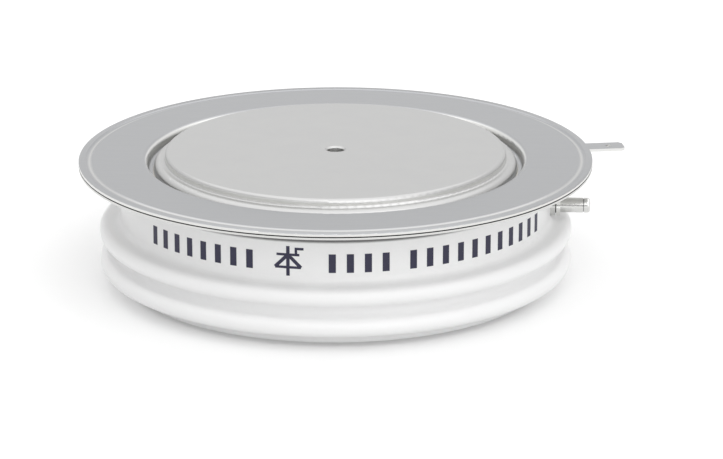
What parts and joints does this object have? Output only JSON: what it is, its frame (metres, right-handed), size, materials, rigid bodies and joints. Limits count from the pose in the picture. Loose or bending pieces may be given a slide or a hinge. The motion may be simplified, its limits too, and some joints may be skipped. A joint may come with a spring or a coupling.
{
  "type": "disc thyristor",
  "caption": "Flat press-pack power semiconductor: round metal contact poles on both faces of a ribbed white ceramic ring, with a wide metal rim, a gate tube and a blade tab.",
  "frame": {"origin": "centre of the anode contact face, at the mouth of its centring hole", "axes": "+Z along the housing's axis from the anode face to the cathode face, +X along the gate tube"},
  "size_m": [0.1595, 0.15, 0.039],
  "materials": {
    "plated_copper": "satin",
    "lid_sheet": "satin",
    "rim_sheet": "satin",
    "glazed_alumina": "gloss",
    "gate_metal": "satin",
    "molybdenum": "satin",
    "silicon": "polished",
    "silicone_rubber": "matte",
    "ring_plastic": "matte",
    "silver": "polished",
    "spring_steel": "satin",
    "cup_plastic": "matte"
  },
  "bodies": {
    "root": {"cathode_pole": "plated_copper", "cathode_lid": "lid_sheet", "weld_ring": "rim_sheet", "ceramic_ring": "glazed_alumina", "anode_flange": "rim_sheet", "anode_pole": "plated_copper", "gate_eyelet": "gate_metal", "gate_tube": "gate_metal", "anode_disc": "molybdenum", "silicon_wafer": "silicon", "cathode_disc": "molybdenum", "edge_ring": "silicone_rubber", "centring_ring": "ring_plastic", "gate_pin": "silver", "gate_spring": "spring_steel", "gate_cup": "cup_plastic", "gate_lead": "silver", "lead_sleeve": "cup_plastic"}
  },
  "joints": []
}
